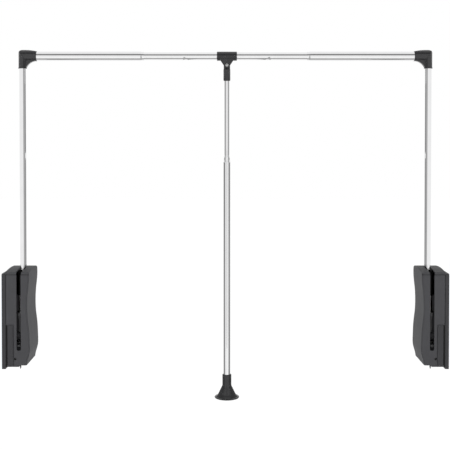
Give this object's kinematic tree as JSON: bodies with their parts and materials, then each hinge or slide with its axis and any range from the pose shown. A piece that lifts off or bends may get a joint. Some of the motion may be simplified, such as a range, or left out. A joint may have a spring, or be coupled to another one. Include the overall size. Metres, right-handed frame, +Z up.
{
  "type": "pull down closet rod",
  "caption": "Spring-assisted pull-down closet rod: two wall housings, chrome arms, telescopic hanging rail and a telescopic pull handle with a bell-shaped grip.",
  "frame": {"origin": "where the swing axis meets the left mounting face", "axes": "+X along the rail to the right mounting face, +Z up, the arms come down towards -Y (the front)"},
  "size_m": [1.186, 0.1162, 0.9439],
  "materials": {
    "housing_plastic": "fine matt grain, moulded",
    "connector_plastic": "satin, moulded",
    "chrome": "bright chrome-plated steel tube",
    "steel": "zinc-plated",
    "black_steel": "black e-coat",
    "nylon": "dark nylon",
    "rubber": "soft black rubber"
  },
  "bodies": {
    "left_housing": {"left_wall_plate": "housing_plastic", "left_outer_case": "housing_plastic", "left_lower_cap": "housing_plastic", "left_inner_cover": "housing_plastic", "left_case_screw": "black_steel", "left_axle": "steel", "left_stop_buffer": "rubber", "left_spring_cylinder": "black_steel"},
    "left_arm": {"left_lever": "black_steel", "left_bushes": "nylon", "left_crank_pin": "steel", "left_arm_tube": "chrome", "left_arm_rivets": "steel", "left_elbow": "connector_plastic", "left_elbow_screws": "steel", "left_rail_tube": "chrome"},
    "left_carriage": {"left_carriage": "nylon", "left_spring_rod": "steel"},
    "right_housing": {"right_wall_plate": "housing_plastic", "right_outer_case": "housing_plastic", "right_lower_cap": "housing_plastic", "right_inner_cover": "housing_plastic", "right_case_screw": "black_steel", "right_axle": "steel", "right_stop_buffer": "rubber", "right_spring_cylinder": "black_steel"},
    "right_arm": {"right_lever": "black_steel", "right_bushes": "nylon", "right_crank_pin": "steel", "right_arm_tube": "chrome", "right_arm_rivets": "steel", "right_elbow": "connector_plastic", "right_elbow_screws": "steel", "right_rail_tube": "chrome"},
    "right_carriage": {"right_carriage": "nylon", "right_spring_rod": "steel"},
    "rail_core": {"rail_core": "chrome", "rail_guides": "nylon"},
    "tee": {"tee": "connector_plastic", "tee_pin": "steel"},
    "handle_upper": {"handle_socket": "connector_plastic", "socket_pin": "steel", "handle_upper_tube": "chrome", "guide_plug": "nylon", "button_spring": "steel"},
    "handle_lower": {"handle_lower_tube": "chrome", "grip": "connector_plastic", "grip_plug": "nylon", "grip_screw": "steel"},
    "button": {"snap_button": "steel"}
  },
  "joints": [
    {"name": "arm_swing", "type": "hinge", "parent": "left_housing", "child": "left_arm", "pos_m": [0.045, 0, 0], "axis": [1, 0, 0], "range_deg": [0, 100], "stiffness_Nm_per_rad": 12, "springref_deg": -20.05},
    {"name": "left_extend", "type": "slide", "parent": "left_arm", "child": "rail_core", "axis": [1, 0, 0], "range_m": [-0.148, 0.0165]},
    {"name": "right_extend", "type": "slide", "parent": "rail_core", "child": "right_arm", "axis": [1, 0, 0], "range_m": [-0.148, 0.0165]},
    {"name": "right_pivot", "type": "hinge", "parent": "right_arm", "child": "right_housing", "pos_m": [1.141, 0, 0], "axis": [1, 0, 0], "range_deg": [-100, 0]},
    {"name": "left_spring_travel", "type": "slide", "parent": "left_housing", "child": "left_carriage", "axis": [0, 0, 1], "range_m": [0, 0.03984]},
    {"name": "right_spring_travel", "type": "slide", "parent": "right_housing", "child": "right_carriage", "axis": [0, 0, 1], "range_m": [0, 0.03984]},
    {"name": "tee_swivel", "type": "hinge", "parent": "rail_core", "child": "tee", "pos_m": [0.597, 0, 0.759], "axis": [1, 0, 0], "range_deg": [-110, 30]},
    {"name": "handle_sway", "type": "hinge", "parent": "tee", "child": "handle_upper", "pos_m": [0.597, 0, 0.7345], "axis": [0, 1, 0], "range_deg": [-15, 15]},
    {"name": "handle_extend", "type": "slide", "parent": "handle_upper", "child": "handle_lower", "axis": [0, 0, -1], "range_m": [-0.171, 0.171]},
    {"name": "button_press", "type": "slide", "parent": "handle_upper", "child": "button", "axis": [-1, 0, 0], "range_m": [0, 0.002], "stiffness_N_per_m": 800, "springref_m": -0.002, "deforming": ["button_spring"]}
  ],
  "couplings": [
    {"joint": "right_extend", "follows": "left_extend", "ratio": 1},
    {"joint": "right_pivot", "follows": "arm_swing", "ratio": -1},
    {"joint": "left_spring_travel", "follows": "arm_swing", "m_per_rad": 0.022823},
    {"joint": "right_spring_travel", "follows": "arm_swing", "m_per_rad": 0.022823}
  ]
}
